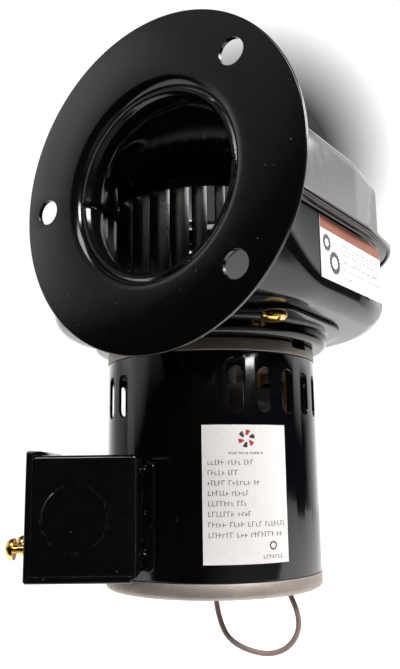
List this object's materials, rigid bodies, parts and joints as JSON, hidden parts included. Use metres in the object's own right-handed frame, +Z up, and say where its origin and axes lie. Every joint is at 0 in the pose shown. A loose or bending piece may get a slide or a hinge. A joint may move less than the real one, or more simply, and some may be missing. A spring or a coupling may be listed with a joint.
{
  "type": "combustion fan",
  "caption": "Draft blower: a motor hanging under a stamped scroll housing, with a round bolt-on outlet flange, a squirrel-cage wheel inside and a side wiring box.",
  "frame": {"origin": "centre of the outlet flange's front face", "axes": "-Y out of the outlet, +Z up the shaft from the motor to the blower wheel, +X towards the scroll's straight side wall"},
  "size_m": [0.1617, 0.1579, 0.2075],
  "materials": {
    "housing_black": "gloss black enamel",
    "shell_black": "gloss black enamel",
    "box_black": "semi-gloss black enamel",
    "bell_aluminium": "as-cast, fine grain",
    "fan_aluminium": "satin",
    "lamination_steel": "stacked laminations",
    "plated_steel": "bright zinc",
    "wheel_galvanised": "galvanised",
    "yellow_zinc": "yellow zinc, bright",
    "bronze": "oil-impregnated, satin",
    "enamelled_copper": "varnished windings",
    "bare_copper": "bare",
    "oil_felt": "felt",
    "black_rubber": "matt",
    "protector_case": "moulded",
    "white_sleeve": "extruded insulation",
    "black_sleeve": "extruded insulation",
    "lead_sleeve": "extruded insulation",
    "label_paper": "printed label stock"
  },
  "bodies": {
    "frame": {"adapter_dish": "housing_black", "adapter_screw_1": "yellow_zinc", "adapter_screw_2": "yellow_zinc", "bolt_nut_1": "plated_steel", "bolt_nut_2": "plated_steel", "bolt_nut_3": "plated_steel", "bolt_nut_4": "plated_steel", "bottom_bell": "bell_aluminium", "caution_label": "label_paper", "cover_screw_front": "yellow_zinc", "cover_screw_rear": "yellow_zinc", "field_coil_1": "enamelled_copper", "field_coil_2": "enamelled_copper", "field_coil_3": "enamelled_copper", "field_coil_4": "enamelled_copper", "junction_box": "box_black", "junction_cover": "box_black", "lead_bushing_1": "black_rubber", "lead_bushing_2": "black_rubber", "lead_grommet": "black_rubber", "lead_loop": "lead_sleeve", "lower_bearing": "bronze", "lower_oil_felt": "oil_felt", "lower_pan": "housing_black", "motor_screw_1": "plated_steel", "motor_screw_2": "plated_steel", "motor_screw_3": "plated_steel", "motor_screw_4": "plated_steel", "motor_shell": "shell_black", "outlet_flange": "housing_black", "rating_label": "label_paper", "shading_ring_1": "bare_copper", "shading_ring_2": "bare_copper", "shading_ring_3": "bare_copper", "shading_ring_4": "bare_copper", "stator_core": "lamination_steel", "supply_lead_1": "white_sleeve", "supply_lead_2": "black_sleeve", "thermal_protector": "protector_case", "through_bolt_1": "yellow_zinc", "through_bolt_2": "yellow_zinc", "through_bolt_3": "yellow_zinc", "through_bolt_4": "yellow_zinc", "top_bell": "bell_aluminium", "upper_bearing": "bronze", "upper_oil_felt": "oil_felt", "upper_pan": "housing_black"},
    "rotor": {"blower_wheel": "wheel_galvanised", "cooling_fan": "fan_aluminium", "lower_end_ring": "bell_aluminium", "lower_thrust_washer": "bronze", "rotor_core": "lamination_steel", "set_screw": "plated_steel", "shaft": "plated_steel", "upper_end_ring": "bell_aluminium", "upper_thrust_washer": "bronze", "wheel_hub": "fan_aluminium"}
  },
  "joints": [
    {"name": "rotor_spin", "type": "hinge", "parent": "frame", "child": "rotor", "pos_m": [-0.0376, 0.0852, 0], "axis": [0, 0, 1], "continuous": true}
  ]
}
